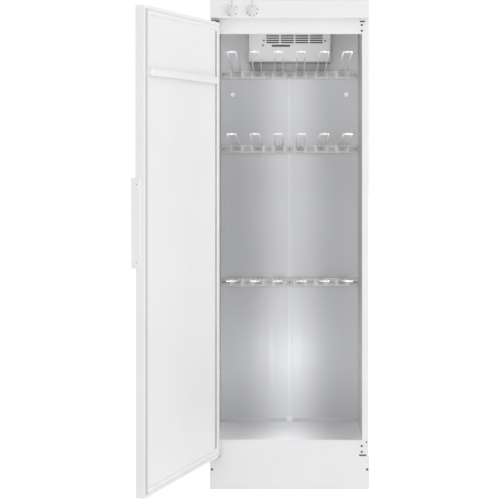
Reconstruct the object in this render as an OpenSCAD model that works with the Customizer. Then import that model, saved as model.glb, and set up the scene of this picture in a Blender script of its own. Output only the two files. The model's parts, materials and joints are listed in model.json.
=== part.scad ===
// Drying cabinet: a tall steel casing with an open door, fan housing, control
// fascia and three rows of hinged wire hanging arms.
// Origin: on the floor, in the middle of the casing's footprint.
// +Z is up, -Y is the front and +X is to the right as seen from the front.

/* [Casing] */
// Width over the side panels
case_w = 595; // [560:1:640]
// Depth from the front frame's face to the rear panel
case_d = 570; // [550:1:620]
// Height from the floor to the top cover
case_h = 1840; // [1790:1:1900]
// Thickness of the side panels' sheet
sheet = 1; // [0.7:0.1:1.5]
// Thickness of the rear panel's sheet
rear_t = 1; // [0.7:0.1:1.5]
// Width of the flange on the side panels' front edge
side_front_flange = 6; // [4:0.5:9]
// Width of the flange on the side panels' rear edge
side_rear_flange = 20; // [12:1:40]
// Thickness of the top cover
cover_t = 1.5; // [1:0.1:2.5]
// Height of the top cover's lips
cover_lip = 20; // [14:1:26]
// Gap between the top cover's lips and the panels
cover_gap = 0.3; // [0.2:0.1:0.6]
// Radius of the top cover's long edges
cover_r = 3; // [2.6:0.1:5]

/* [Base] */
// Height of the base
base_h = 122; // [115:1:124]
// How far the base stands out past the casing on each side
base_overhang = 3.5; // [2:0.5:8]
// Thickness of the base's sheet
base_t = 1.2; // [1:0.1:2]
// Gap under the base's skirt
skirt_gap = 2; // [1:0.5:10]
// Width of the base's top flange
base_flange = 30; // [20:1:60]
// Height of the foot gussets above the floor
gusset_z = 24; // [21:1:60]
// Side length of the square foot gussets
gusset_w = 90; // [70:1:120]
// Inset of the foot studs from the base's corner
foot_inset = 42; // [30:1:55]
// Diameter of a foot's pad
foot_d = 40; // [30:1:50]
// Height of a foot's pad
foot_pad_h = 12; // [8:1:14]
// Diameter of a foot's threaded stud
stud_d = 10; // [8:1:12]
// Height of a foot's lock nut
nut_h = 6; // [4:0.5:6.5]

/* [Front frame] */
// Thickness of the front frame
frame_t = 1.2; // [1:0.1:2]
// Width of the front frame's stiles beside the opening
stile_w = 24.1; // [22.5:0.1:37.5]
// Height of the opening's lower edge above the floor
opening_bottom = 185.6; // [175:0.2:230]
// Distance from the top of the casing down to the opening
header_h = 123; // [110:1:150]
// Radius of the opening's corners
opening_r = 3; // [2:0.5:12]
// Depth of the return flange round the opening
frame_return = 12; // [8:0.5:20]
// Width of the raised bead round the opening
bead_w = 6.4; // [4:0.2:6.6]
// Height of the raised bead
bead_h = 1; // [0.5:0.1:1]

/* [Chamber] */
// Space from the casing's sides to the inside of the liner
wall_space = 10.5; // [8.5:0.5:12.5]
// Depth from the front frame's face to the chamber's back wall
chamber_d = 500; // [480:1:502]
// Height of the chamber's floor above the base
floor_rise = 21; // [19:0.5:30]
// Distance from the top of the casing down to the chamber's ceiling
ceiling_drop = 72; // [72:0.5:74]
// Thickness of the liner's sheet
liner_t = 0.8; // [0.6:0.1:1.2]
// Height of the floor tray's rear upstand
tray_upstand = 14; // [8:1:30]
// Width of the strip over the back wall's joint
strip_w = 18; // [12:1:30]
// Thickness of that strip
strip_t = 1.5; // [1:0.1:3]
// Diameter of the plugs on the back wall
plug_d = 19; // [14:1:24]
// Distance of the plugs from the side walls
plug_inset = 49; // [27:1:67]
// Drop of the plugs below the ceiling
plug_drop = 256; // [218:1:368]

/* [Exhaust] */
// Outside diameter of the exhaust spigot
spigot_d = 100; // [80:1:125]
// Wall of the exhaust spigot
spigot_wall = 1.5; // [1:0.1:3]
// Height of the spigot above the top cover
spigot_h = 40; // [25:1:60]
// Width of the spigot's collar on the top cover
collar_w = 14; // [8:1:20]

/* [Fascia] */
// Inset of the fascia's ends from the casing's sides
fascia_inset = 1.5; // [0.5:0.5:17.5]
// Height of the fascia
fascia_h = 68; // [64:1:72]
// Depth of the fascia in front of the frame
fascia_d = 40; // [38:1:50]
// Wall of the fascia
fascia_wall = 2.5; // [2:0.1:3]
// Radius of the fascia's front edges
fascia_r = 5; // [4:0.5:8]
// Distance of the timer knob from the fascia's left end
timer_inset = 80.5; // [66:0.5:96]
// Distance between the two knobs
knob_pitch = 76.2; // [65:0.1:85]
// Height of the knobs' axes below the top of the casing
knob_drop = 40; // [36:1:40]

/* [Knobs] */
// Diameter of a knob's skirt
knob_d = 46; // [40:1:50]
// Height of a knob
knob_h = 19; // [15:1:24]
// Thickness of a knob's skirt at its rim
knob_skirt = 2.4; // [1.5:0.1:4]
// Width of a knob's grip bar
grip_w = 10; // [8:0.5:14]
// Gap between a knob and the fascia
knob_gap = 0.4; // [0.3:0.1:1]
// Diameter of a knob's stem
stem_d = 6; // [5:0.5:7]
// Length of a knob's stem
stem_len = 24; // [18:1:28]
// Radial clearance of every shaft and pin in its bore
run_gap = 0.06; // [0.02:0.01:0.1]
// Outside diameter of the neck on the timer and the thermostat
neck_d = 9.6; // [9:0.1:12]
// Side length of the timer's housing
timer_w = 42; // [36:1:43]
// Diameter of the thermostat's housing
thermostat_d = 42; // [34:1:48]
// Depth of the timer's and the thermostat's housings
control_depth = 31; // [30:1:34]

/* [Door] */
// Inset of the door's sides from the casing's sides
door_inset = 1.5; // [0.5:0.5:10]
// Height of the door's lower edge above the base
door_rise = 10; // [9.6:0.1:14]
// Gap between the door and the fascia
door_top_gap = 17; // [15:0.5:20]
// Thickness of the door
door_t = 37; // [34:0.5:40]
// Gap between the closed door and the front frame
door_gap = 3; // [3:0.1:4]
// Thickness of the door's sheet
door_sheet = 1; // [0.8:0.1:1.5]
// Radius of the door's upright edges
door_r = 5; // [4:0.5:8]
// Width of the flat border on the door's inside
border = 27; // [24:0.5:40]
// Depth of the recessed inner panel
recess = 5; // [3:0.5:8]
// Radius of the recess's corners
recess_r = 8; // [4:1:20]
// Angle by which the door stands open
door_open = 111.1; // [0:0.1:170]
// Distance of the hinge axis from the door's side edge
pivot_inset = 10.5; // [10:0.5:12]
// Distance of the hinge axis from the door's inner face
pivot_depth = 22; // [20:0.5:23]
// Inset of the gasket from the door's edge
gasket_inset = 10; // [10:0.1:10.5]
// Width of the gasket
gasket_w = 5.2; // [4:0.1:5.4]
// Height of the gasket
gasket_h = 1.8; // [1:0.1:2]

/* [Hinges] */
// Thickness of a hinge leaf
leaf_t = 3; // [2.5:0.1:3.4]
// Radius of a leaf's end round its pin
leaf_r = 9; // [8:0.5:10]
// Diameter of a hinge pin
pin_d = 8; // [6:0.5:9]
// Length of a hinge pin
pin_len = 24; // [16:1:30]
// Diameter of a bush in the door
bush_d = 12; // [11:0.5:14]
// Diameter of a bush's flange
bush_flange_d = 17; // [15:0.5:20]
// Gap between a leaf and the bush under or over it
leaf_gap = 0.3; // [0.2:0.1:0.5]
// Drop of the upper slot below the fascia
top_slot_drop = 9; // [8:0.5:10]
// Rise of the lower leaf above the base
bottom_leaf_rise = 5.6; // [4:0.2:5.6]
// Width of the upper slot
top_slot_w = 20; // [16:1:24]
// Width of the lower slot
bottom_slot_w = 28; // [24:1:30]
// Height of the slots above and below their leaf
slot_gap = 0.6; // [0.4:0.1:1.2]
// Distance of the upper slot's middle from the casing's side
top_slot_inset = 23.5; // [21.5:0.5:25.5]
// Distance of the lower slot's middle from the casing's side
bottom_slot_inset = 22; // [20.5:0.5:23.5]
// Distance of the hinge screws from the casing's side
hinge_screw_inset = 25.5; // [22.5:0.5:29.5]
// Distance from a slot to its first hinge screw
hinge_screw_first = 13; // [10:0.5:16]
// Distance between the two hinge screws
hinge_screw_pitch = 22; // [18:0.5:26]
// Diameter of the hinge screw holes
hinge_hole_d = 5; // [4:0.1:6]

/* [Handle] */
// Length of the handle
handle_len = 299; // [200:1:400]
// Height of the handle's lower end
handle_z = 887; // [700:1:1000]
// How far the handle reaches past the door's outer face
handle_reach = 15; // [12:0.5:30]
// How much of the door's edge the handle's flange covers
handle_cover = 21; // [16:0.5:28]
// Thickness of the handle's flange
handle_flange = 2.5; // [2:0.1:4]
// Thickness of the handle's lip
handle_lip = 3; // [2:0.1:4]
// Width of the handle's lip over the door's outer face
handle_grip = 30; // [24:1:50]
// Inset of the handle's screws from its ends
handle_screw_inset = 21.5; // [12:0.5:40]
// Distance of the handle's screws from the door's outer face
handle_screw_y = 7.4; // [6:0.2:12]

/* [Towel rail] */
// Height of the towel rail's flat bar
towel_h = 25; // [18:1:40]
// Thickness of the flat bar
towel_t = 3; // [2:0.1:4]
// Gap between the flat bar and the door's inner panel
towel_gap = 15; // [10:0.5:15]
// Distance from the door's top down to the flat bar's lower edge
towel_drop = 231; // [155:1:455]
// Distance from the bar's end to the door's free edge
towel_free_inset = 28.5; // [28.5:0.5:60]
// Distance from the bar's end to the door's hinge edge
towel_hinge_inset = 28.5; // [28.5:0.5:60]
// Length of the feet at the bar's ends
towel_foot = 24; // [20:1:40]

/* [Fan housing] */
// Width of the fan housing
fan_w = 334; // [320:1:346]
// Height of the fan housing
fan_h = 129; // [118:1:146]
// Depth of the fan housing
fan_d = 150; // [145:1:170]
// Thickness of the fan housing's sheet
fan_t = 1.2; // [1:0.1:2]
// Radius of the fan housing's upright front edges
fan_r = 3; // [2:0.5:8]
// Middle of the grille from the middle of the cabinet
grille_x = 20; // [10:1:30]
// Columns of slots in the grille
grille_columns = 4; // [2:1:4]
// Rows of slots in the grille
grille_rows = 5; // [2:1:5]
// Width of one slot
slot_w = 52; // [40:1:52]
// Width of the webs between the columns
slot_web = 7; // [5:0.5:9]
// Height of one slot
slot_h = 5; // [3.5:0.1:6]
// Distance between the rows
slot_pitch = 9; // [8.5:0.1:10]
// Height of the lowest row above the fan housing's underside
grille_rise = 77; // [74:1:80]
// Width of the louvre blade over each slot
blade_w = 6; // [4:0.5:7]
// Thickness of a louvre blade
blade_t = 0.8; // [0.6:0.1:1.2]
// Upward slope of the louvre blades towards the back
blade_slope = 25; // [20:1:35]
// Slots in the fan housing's underside
vent_count = 8; // [4:1:8]
// Length of one of those slots
vent_w = 27; // [20:1:32]
// Distance between those slots
vent_pitch = 38.6; // [36:0.2:40]
// Width of those slots
vent_h = 6; // [4:0.5:10]
// Middle of the sensor window
sensor_x = -35; // [-60:1:0]
// Width of the sensor window
sensor_w = 76; // [60:1:90]
// Height of the sensor window
sensor_h = 9; // [7:0.5:11]

/* [Fan and heater] */
// Middle of the fan from the middle of the cabinet
fan_x = 75; // [60:1:80]
// Diameter of the fan wheel
wheel_d = 96; // [80:1:104]
// Width of the fan wheel
wheel_w = 58; // [40:1:70]
// Number of blades on the fan wheel
wheel_blades = 20; // [12:1:28]
// Gap between the fan wheel and the back wall
wheel_gap = 48; // [40:1:60]
// Diameter of the motor
motor_d = 84; // [60:1:90]
// Length of the motor
motor_len = 46; // [35:1:55]
// Diameter of the motor's shaft
shaft_d = 8; // [6:0.5:10]
// Diameter of the heater's tube
heater_d = 6.5; // [5:0.5:8]
// Number of runs of the heater's tube
heater_runs = 10; // [4:2:10]
// Distance between the heater's runs
heater_pitch = 30; // [24:1:31]
// Height of the heater above the fan housing's floor
heater_rise = 8.8; // [7:0.2:10]

/* [Hanging rails] */
// Gap between a hanging rail's ends and the liner
rail_end_gap = 7; // [4:0.5:37]
// Height of a hanging rail
rail_h = 33; // [30:1:40]
// Depth of a hanging rail
rail_depth = 7; // [6:0.5:10]
// Thickness of a hanging rail's sheet
rail_t = 1.5; // [1:0.1:2]
// Drop of the top rail's middle below the ceiling
rail_top_drop = 174; // [168:1:182]
// Distance from the top rail down to the middle one
rail_mid_step = 310.5; // [301:0.5:319]
// Distance from the middle rail down to the lowest one
rail_low_step = 556.8; // [500:0.1:630]
// Distance between the raised pads
pad_pitch = 44; // [40:0.5:45]
// Width of a raised pad
pad_w = 31; // [26:1:36]
// Height of a raised pad
pad_h = 28; // [24:1:29]
// How far a pad is raised
pad_rise = 1; // [0.5:0.1:2]
// Width of the slot in a pad
pad_slot_w = 14; // [8:1:18]
// Height of the slot in a pad
pad_slot_h = 4; // [3:0.5:5]
// Width of a hook
hook_w = 10; // [8:1:14]
// Thickness of a hook
hook_t = 1.5; // [1:0.1:2]
// Part of the circle that a hook goes round the arm's pivot bar
hook_angle = 200; // [150:5:240]

/* [Hanging arms] */
// Diameter of the arms' wire
wire_d = 5; // [4:0.1:6]
// Width of an arm between its wires' centres
arm_w = 33; // [24:1:36]
// Length of an arm's legs
arm_len = 466; // [400:1:468]
// Rise of an arm towards the front, in degrees
arm_rise = 5.3; // [3:0.1:6]
// Diameter of an arm's pivot bar
pivot_bar_d = 4.8; // [4:0.1:5.6]
// Distance along the leg from its elbow to the pivot bar
pivot_out = 3; // [2.9:0.1:6]
// Height of the heel's top above the rail's middle
heel_top = 7; // [5:0.5:7]
// Distance from the heel's top to the arm's lower bar
heel_drop = 18; // [14:0.5:18]
// Gap between the heel and the raised pad
heel_gap = 0.3; // [0.2:0.1:0.5]
// Bend radius at the front of an arm
front_bend = 8; // [6:0.5:10]
// Bend radius elsewhere on an arm
heel_bend = 6; // [5:0.5:8]
// Diameter of the sleeve on the front bar
sleeve_d = 8; // [7:0.1:10]
// Length of the sleeve on the front bar
sleeve_len = 12; // [8:1:13]

/* [Hidden] */
$fn = 48;
cut = 1;           // how far a cutting tool runs past the surface it cuts
screw_d = 4;       // diameter of the small screws
screw_fit = 0.1;   // radial gap between a screw or a plug and its hole
screw_hole = screw_d + 2 * screw_fit;
weld = 0.4;        // how far an arm's leg runs into its elbow

opening_w = case_w - 2 * stile_w;
chamber_w = case_w - 2 * wall_space;
fascia_w = case_w - 2 * fascia_inset;
door_w = case_w - 2 * door_inset;

front_y = -case_d / 2;
back_y = case_d / 2;
frame_back = front_y + frame_t;
rear_face = back_y - rear_t;
cover_seat = case_h - cover_t;

base_w = case_w + 2 * base_overhang;
opening_top = case_h - header_h;
chamber_back = front_y + chamber_d;
floor_z = base_h + floor_rise;
ceiling_z = case_h - ceiling_drop;
strip_bottom = floor_z + tray_upstand;
plug_x = chamber_w / 2 - plug_inset;
plug_z = ceiling_z - plug_drop;
tray_front = frame_back + leaf_t + 1;

fascia_front = front_y - fascia_d;
fascia_bottom = case_h - fascia_h;
knob_z = case_h - knob_drop;
timer_x = -fascia_w / 2 + timer_inset;
heat_x = timer_x + knob_pitch;
control_face = fascia_front + fascia_wall;

door_x = door_w / 2;
door_bottom = base_h + door_rise;
door_top = fascia_bottom - door_top_gap;
door_in = front_y - door_gap;
door_out = door_in - door_t;
pivot = [-door_x + pivot_inset, door_in - pivot_depth, 0];
window = door_x - border;
panel_face = door_in - recess;

top_slot_x = case_w / 2 - top_slot_inset;
bottom_slot_x = case_w / 2 - bottom_slot_inset;
hinge_screw_x = case_w / 2 - hinge_screw_inset;
top_leaf_z = fascia_bottom - top_slot_drop - leaf_t / 2;
bottom_leaf_z = base_h + bottom_leaf_rise;
handle_out = door_out - handle_reach;
towel_z = door_top - towel_drop;
towel_back = panel_face + towel_gap;
towel_x0 = -door_x + towel_hinge_inset;
towel_x1 = door_x - towel_free_inset;

fan_front = chamber_back - fan_d;
fan_bottom = ceiling_z - fan_h;
fan_axis_z = (fan_bottom + ceiling_z) / 2;
wheel_back = chamber_back - wheel_gap;
grille_span = grille_columns * slot_w + (grille_columns - 1) * slot_web;
grille_x0 = grille_x - grille_span / 2;
grille_z0 = fan_bottom + grille_rise;
sensor_z = grille_z0 - 13;
heater_z = fan_bottom + fan_t + heater_rise;

rail_w = chamber_w - 2 * rail_end_gap;
pads_each_side = floor((rail_w - pad_w) / 2 / pad_pitch);
rail_top_z = ceiling_z - rail_top_drop;
rail_mid_z = rail_top_z - rail_mid_step;
rail_low_z = rail_mid_z - rail_low_step;
rail_face = chamber_back - rail_depth;
pad_face = rail_face - pad_rise;
heel_y = pad_face - heel_gap - wire_d / 2;
pivot_y = heel_y - heel_bend * (1 - sin(arm_rise)) - pivot_out * cos(arm_rise);
pivot_rise = heel_top + heel_bend * cos(arm_rise) + pivot_out * sin(arm_rise);
hook_r = pivot_bar_d / 2 + run_gap;
elbow_turn = 90 - arm_rise;

leg_d = wire_d + 0.1;
rail_heights = [rail_top_z, rail_mid_z, rail_low_z];
panel_screw_inset = 60;
panel_screw_pitch = (case_h - base_h - 2 * panel_screw_inset) / 4;
panel_screws = [for (s = [-1, 1], k = [0 : 4]) [s, base_h + panel_screw_inset + k * panel_screw_pitch]];

// Colours
powder_white = "#eef0f0";
door_white = "#f2f3f3";
zinc = "#b4b8ba";
wire_white = "#f6f6f6";
housing_grey = "#cfd1d2";
steel = "#9a9da0";
plastic_white = "#f0f0ee";
rubber_grey = "#c9cccd";
dark = "#4a4c4e";

// ---- shapes used by several pieces ----

// Box between two opposite corners
module block(lo, hi) translate(lo) cube(hi - lo);

// Round bars that start at p and run along one axis
module bar_x(p, d, len) translate(p) rotate([0, 90, 0]) cylinder(d = d, h = len);
module bar_y(p, d, len) translate(p) rotate([-90, 0, 0]) cylinder(d = d, h = len);
module bar_z(p, d, len) translate(p) cylinder(d = d, h = len);

// Outlines drawn in the plane across each axis, extruded from one place to another
module along_x(x0, x1) translate([x0, 0, 0]) rotate([90, 0, 90]) linear_extrude(x1 - x0) children();
module along_y(y0, y1) translate([0, y1, 0]) rotate([90, 0, 0]) linear_extrude(y1 - y0) children();
module along_z(z0, z1) translate([0, 0, z0]) linear_extrude(z1 - z0) children();

// Rectangle with round corners between two opposite corners
module round_rect(lo, hi, r) {
    for (x = [lo.x + r, hi.x - r], y = [lo.y + r, hi.y - r])
        translate([x, y]) circle(r);
    translate([lo.x + r, lo.y]) square([hi.x - lo.x - 2 * r, hi.y - lo.y]);
    translate([lo.x, lo.y + r]) square([hi.x - lo.x, hi.y - lo.y - 2 * r]);
}

// The shape as drawn on the right, or its mirror image on the left
module on_side(side) {
    if (side < 0) mirror([1, 0, 0]) children();
    else children();
}

// Quarter of a bent wire from +X towards +Y, round the origin
module wire_bend(r, angle) rotate_extrude(angle = angle) translate([r, 0]) circle(d = wire_d);

// Screw along Y with its domed head on the face at p, pointing to the back
module screw_y(p, d, len) {
    head = d * 0.75;
    bar_y(p, d, len);
    translate(p) rotate([90, 0, 0]) rotate_extrude()
        polygon([[0, 0], [head, 0], [head, 0.5], [head * 0.8, 0.9], [head * 0.5, 1.1], [0, 1.1]]);
}

// Places what was drawn for the closed door where the open door stands
module on_door() translate(pivot) rotate([0, 0, -door_open]) translate(-pivot) children();

// ---- casing ----

module side_panel(side) {
    color(powder_white) on_side(side) along_z(base_h, cover_seat) {
        translate([case_w / 2 - sheet, frame_back]) square([sheet, rear_face - frame_back]);
        translate([case_w / 2 - side_front_flange, frame_back])
            square([side_front_flange, sheet]);
        translate([case_w / 2 - side_rear_flange, rear_face - sheet])
            square([side_rear_flange, sheet]);
    }
}

// Where the gland sits in the rear panel
gland_x = -170;
gland_drop = 38;
gland_d = 16;
gland = [gland_x, rear_face, cover_seat - gland_drop];

// Rear panel with intake slots behind the fan
module rear_panel() {
    intake_w = 70;
    intake_pitch = 12;
    color(zinc) difference() {
        block([-case_w / 2, rear_face, base_h], [case_w / 2, back_y, cover_seat]);
        for (k = [-3 : 3], side = [-1, 1])
            translate([fan_x + side * (intake_w + 12) / 2, 0, fan_axis_z + k * intake_pitch])
                along_y(rear_face - cut, back_y + cut)
                    round_rect([-intake_w / 2, -2.5], [intake_w / 2, 2.5], 2.4);
        bar_y([gland.x, rear_face - cut, gland.z], gland_d + 2 * screw_fit, rear_t + 2 * cut);
        for (s = panel_screws)
            bar_y([s.x * (case_w / 2 - side_rear_flange / 2), rear_face - cut, s.y],
                  screw_hole, rear_t + 2 * cut);
    }
}

// Pan-shaped top cover whose lips hang over the sides and the back
module top_cover() {
    half = case_w / 2 + cover_gap + cover_t;
    lip_z = case_h - cover_lip;
    color(powder_white) difference() {
        along_y(front_y, back_y + cover_gap + cover_t) intersection() {
            round_rect([-half, lip_z - 2 * cover_r], [half, case_h], cover_r);
            translate([-half, lip_z]) square([2 * half, cover_lip]);
        }
        block([-half + cover_t, front_y - cut, lip_z - cut],
              [half - cover_t, back_y + cover_gap, cover_seat]);
        bar_z([0, 0, cover_seat - cut], spigot_d + 2 * screw_fit, cover_t + 2 * cut);
    }
}

module base_frame() {
    half = base_w / 2;
    color(powder_white) {
        difference() {
            block([-half, frame_back, skirt_gap], [half, back_y, base_h]);
            block([-half + base_t, frame_back - cut, skirt_gap - cut],
                  [half - base_t, back_y - base_t, base_h - base_t]);
            block([-half + base_flange, frame_back + base_flange, base_h - base_t - cut],
                  [half - base_flange, back_y - base_flange, base_h + cut]);
        }
        // upright flanges that the plinth panel is screwed to
        for (side = [-1, 1]) on_side(side) difference() {
            block([half - base_flange, frame_back, skirt_gap],
                  [half - base_t, frame_back + base_t, base_h - base_t]);
            bar_y([plinth_screw.x, frame_back - cut, plinth_screw.y], screw_hole, base_t + 2 * cut);
        }
        // gussets that the feet are screwed into
        for (side = [-1, 1], front = [0, 1]) on_side(side) difference() {
            y0 = front ? frame_back : back_y - base_t - gusset_w;
            block([half - base_t - gusset_w, y0, gusset_z], [half - base_t, y0 + gusset_w, gusset_z + 2]);
            bar_z([half - foot_inset, foot_y(front), gusset_z - cut], stud_d + 0.4, 2 + 2 * cut);
        }
    }
}

plinth_screw = [base_w / 2 - 9, 76];
function foot_y(front) = front ? frame_back + foot_inset : back_y - foot_inset;

module plinth_panel() {
    color(powder_white) difference() {
        block([-base_w / 2, front_y, skirt_gap], [base_w / 2, frame_back, base_h]);
        for (side = [-1, 1])
            bar_y([side * plinth_screw.x, front_y - cut, plinth_screw.y], screw_hole, frame_t + 2 * cut);
    }
}

// Height-adjustable feet: pad, stud and lock nut
module levelling_feet() {
    color(steel) for (side = [-1, 1], front = [0, 1])
        translate([side * (base_w / 2 - foot_inset), foot_y(front), 0]) {
            rotate_extrude()
                polygon([[0, 0], [foot_d / 2 - 2, 0], [foot_d / 2, 2], [foot_d / 2, foot_pad_h - 4],
                         [foot_d / 3, foot_pad_h], [0, foot_pad_h]]);
            cylinder(d = stud_d, h = gusset_z + 20);
            translate([0, 0, gusset_z - nut_h]) cylinder(d = stud_d * 1.9, h = nut_h, $fn = 6);
        }
}

// Places of the hinge holes: slot height, its first screw and its second
function hinge_rows(top) =
    top ? [top_leaf_z + leaf_t / 2,
           top_leaf_z + leaf_t / 2 - hinge_screw_first,
           top_leaf_z + leaf_t / 2 - hinge_screw_first - hinge_screw_pitch]
        : [bottom_leaf_z + leaf_t / 2,
           bottom_leaf_z + leaf_t / 2 + hinge_screw_first,
           bottom_leaf_z + leaf_t / 2 + hinge_screw_first + hinge_screw_pitch];

module opening_outline(grow) {
    round_rect([-opening_w / 2 - grow, opening_bottom - grow], [opening_w / 2 + grow, opening_top + grow],
               opening_r + grow);
}

// Front frame with a raised bead, and hinge holes on both sides so that the
// door can be hung either way round
module front_frame() {
    color(powder_white) difference() {
        union() {
            block([-case_w / 2, front_y, base_h], [case_w / 2, frame_back, cover_seat]);
            along_y(front_y - bead_h, front_y) opening_outline(bead_w);
            along_y(front_y - bead_h * 0.55, front_y) opening_outline(bead_w + 0.8);
            along_y(frame_back, front_y + frame_return) opening_outline(frame_t);
        }
        along_y(front_y - bead_h - cut, front_y + frame_return + cut) opening_outline(0);
        for (side = [-1, 1]) {
            for (top = [0, 1], k = [1, 2])
                bar_y([side * hinge_screw_x, front_y - cut, hinge_rows(top)[k]], hinge_hole_d,
                      frame_t + 2 * cut);
            leaf_slot(side * top_slot_x, top_slot_w, top_leaf_z);
            leaf_slot(side * bottom_slot_x, bottom_slot_w, bottom_leaf_z);
        }
    }
}

// Slot with round ends that a hinge leaf passes through
module leaf_slot(x, w, z) {
    r = leaf_t / 2 + slot_gap - 0.05;
    translate([x, 0, 0]) along_y(front_y - cut, frame_back + cut)
        round_rect([-w / 2, z - slot_gap], [w / 2, z + leaf_t + slot_gap], r);
}

// ---- chamber ----

module liner_side(side) {
    color(zinc) on_side(side)
        block([chamber_w / 2, frame_back, floor_z], [chamber_w / 2 + liner_t, chamber_back, ceiling_z]);
}

module liner_ceiling() {
    half = chamber_w / 2 + liner_t;
    color(zinc) difference() {
        block([-half, frame_back, ceiling_z], [half, chamber_back + liner_t, ceiling_z + liner_t]);
        bar_z([0, 0, ceiling_z - cut], spigot_d - 2 * spigot_wall - 2, liner_t + 2 * cut);
    }
}

// Half of the back wall, from the middle joint to the side wall
module liner_back(side) {
    half = chamber_w / 2 + liner_t;
    color(zinc) difference() {
        on_side(side) difference() {
            block([0, chamber_back, floor_z], [half, chamber_back + liner_t, ceiling_z]);
            bar_y([plug_x, chamber_back - cut, plug_z], plug_d * 0.6 + 2 * screw_fit, liner_t + 2 * cut);
        }
        if (side > 0) bar_y([fan_x, chamber_back - cut, fan_axis_z], shaft_d * 2, liner_t + 2 * cut);
    }
}

// Strip over the joint of the back wall, with a small tab at its foot
module back_joint_strip() {
    color(zinc) {
        block([-strip_w / 2, chamber_back - strip_t * 0.5, strip_bottom],
              [strip_w / 2, chamber_back, ceiling_z]);
        for (x = [-strip_w / 2 + 2, strip_w / 2 - 2])
            bar_z([x, chamber_back - strip_t * 0.5, strip_bottom], strip_t, ceiling_z - strip_bottom);
        block([-strip_w / 3, chamber_back - strip_t, strip_bottom],
              [strip_w / 3, chamber_back, strip_bottom + 12]);
    }
}

module floor_tray() {
    half = chamber_w / 2;
    color(zinc) {
        block([-half - liner_t, tray_front, floor_z - liner_t],
              [half + liner_t, chamber_back + liner_t, floor_z]);
        block([-half, tray_front, floor_z], [half, tray_front + liner_t, opening_bottom - frame_t]);
        block([-half, chamber_back - liner_t, floor_z], [half, chamber_back, strip_bottom]);
    }
}

module wall_plugs() {
    color(plastic_white) for (side = [-1, 1]) translate([side * plug_x, chamber_back, plug_z]) {
        bar_y([0, 0, 0], plug_d * 0.6, liner_t + 5);
        rotate([90, 0, 0]) rotate_extrude()
            polygon([[0, 0], [plug_d / 2, 0], [plug_d / 2, 1], [plug_d / 2 - 1.2, 2.2], [0, 2.8]]);
    }
}

// ---- fan housing and what works behind it ----

// Screws in the fan housing's front, measured from the middle and the lowest slot
housing_screws = [[grille_x0 - 10, grille_z0 + 8], [grille_x0 + grille_span + 10, grille_z0 + 7],
                  [grille_x0 - 14, sensor_z + 2]];

function slot_x(c) = grille_x0 + c * (slot_w + slot_web);
function slot_z(r) = grille_z0 + r * slot_pitch;

module fan_housing() {
    half = fan_w / 2;
    color(housing_grey) {
        difference() {
            along_z(fan_bottom, ceiling_z) intersection() {
                round_rect([-half, fan_front], [half, chamber_back + 2 * fan_r], fan_r);
                translate([-half, fan_front]) square([fan_w, fan_d]);
            }
            block([-half + fan_t, fan_front + fan_t, fan_bottom + fan_t],
                  [half - fan_t, chamber_back + cut, ceiling_z + cut]);
            for (c = [0 : grille_columns - 1], r = [0 : grille_rows - 1])
                translate([slot_x(c), fan_front - cut, slot_z(r) - slot_h / 2])
                    cube([slot_w, fan_t + 2 * cut, slot_h]);
            for (v = [0 : vent_count - 1], y = [fan_front + 12, fan_front + 26])
                translate([(v - (vent_count - 1) / 2) * vent_pitch - vent_w / 2, y, fan_bottom - cut])
                    cube([vent_w, vent_h, fan_t + 2 * cut]);
            translate([sensor_x, 0, sensor_z]) along_y(fan_front - cut, fan_front + fan_t + cut)
                round_rect([-sensor_w / 2, -sensor_h / 2], [sensor_w / 2, sensor_h / 2], sensor_h / 2 - 0.05);
            for (p = housing_screws) bar_y([p.x, fan_front - cut, p.y], screw_hole, fan_t + 2 * cut);
            // room for the strip over the back wall's joint
            block([-strip_w / 2 - 0.3, chamber_back - strip_t - 0.5, fan_bottom - cut],
                  [strip_w / 2 + 0.3, chamber_back + cut, fan_bottom + fan_t + cut]);
        }
        // louvre blades, each rooted in the sheet just above its slot
        for (c = [0 : grille_columns - 1], r = [0 : grille_rows - 1])
            translate([slot_x(c) - 1, fan_front + fan_t / 2, slot_z(r) + slot_h / 2 + 0.5])
                rotate([blade_slope, 0, 0]) cube([slot_w + 2, blade_w, blade_t]);
    }
}

module humidity_sensor() {
    r = sensor_h / 2 - 0.3;
    color(dark) translate([sensor_x, 0, sensor_z]) difference() {
        union() {
            along_y(fan_front + fan_t, fan_front + fan_t + 2)
                round_rect([-sensor_w / 2 - 3, -sensor_h / 2 - 2], [sensor_w / 2 + 3, sensor_h / 2 + 2], 3);
            along_y(fan_front + 0.6, fan_front + fan_t + 2)
                round_rect([-sensor_w / 2 + 0.3, -r], [sensor_w / 2 - 0.3, r], r - 0.05);
            along_y(fan_front + fan_t + 2, fan_front + 14)
                round_rect([-sensor_w / 3, -r], [sensor_w / 3, r], r - 0.05);
        }
        for (k = [-4 : 4])
            block([k * 7 - 1.2, fan_front, -sensor_h / 4], [k * 7 + 1.2, fan_front + 2, sensor_h / 4]);
    }
}

// Motor on the back wall's rear side
module fan_motor() {
    color(steel) translate([fan_x, chamber_back + liner_t, fan_axis_z]) difference() {
        union() {
            bar_y([0, 0, 0], motor_d * 1.15, 2);
            bar_y([0, 2, 0], motor_d, motor_len * 0.7);
            bar_y([0, 2, 0], motor_d * 0.6, motor_len);
        }
        bar_y([0, -cut, 0], shaft_d + 2 * run_gap, motor_len - 2);
    }
}

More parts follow.
